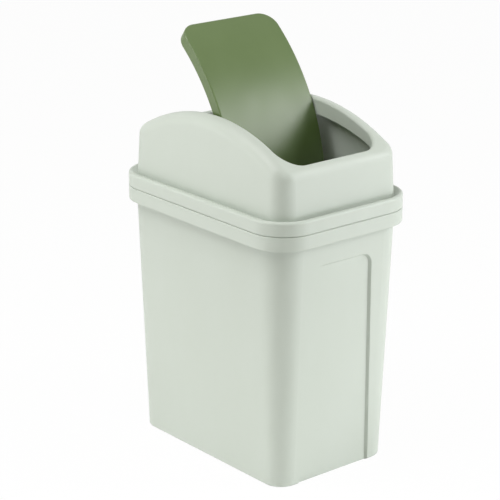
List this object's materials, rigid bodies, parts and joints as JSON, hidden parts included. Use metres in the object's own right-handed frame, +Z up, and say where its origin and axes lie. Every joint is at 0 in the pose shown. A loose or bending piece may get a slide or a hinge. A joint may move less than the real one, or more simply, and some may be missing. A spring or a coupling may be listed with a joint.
{
  "type": "swing-lid trash can",
  "caption": "Tapered kitchen trash can with a lift-off arched hood and a curved flap that swings both ways on pivot pins.",
  "frame": {"origin": "centre of the base, on the floor", "axes": "+Z up, +Y along the long side towards the rear, +X across the short side; the front short face looks along -Y"},
  "size_m": [0.2108, 0.3, 0.5033],
  "materials": {
    "pale_sage": "satin moulded polypropylene, pale sage green",
    "deep_green": "satin moulded polypropylene, deep olive green"
  },
  "bodies": {
    "bucket_body": {"bucket": "pale_sage"},
    "lid_body": {"lid_hood": "pale_sage"},
    "flap_body": {"swing_flap": "deep_green", "left_pivot_pin": "deep_green", "right_pivot_pin": "deep_green"}
  },
  "joints": [
    {"name": "lid_lift", "type": "slide", "parent": "bucket_body", "child": "lid_body", "axis": [0, 0, 1], "range_m": [0, 0.15]},
    {"name": "flap_swing", "type": "hinge", "parent": "lid_body", "child": "flap_body", "pos_m": [0, 0, 0.405], "axis": [1, 0, 0], "range_deg": [-154.1, 25.9]}
  ]
}
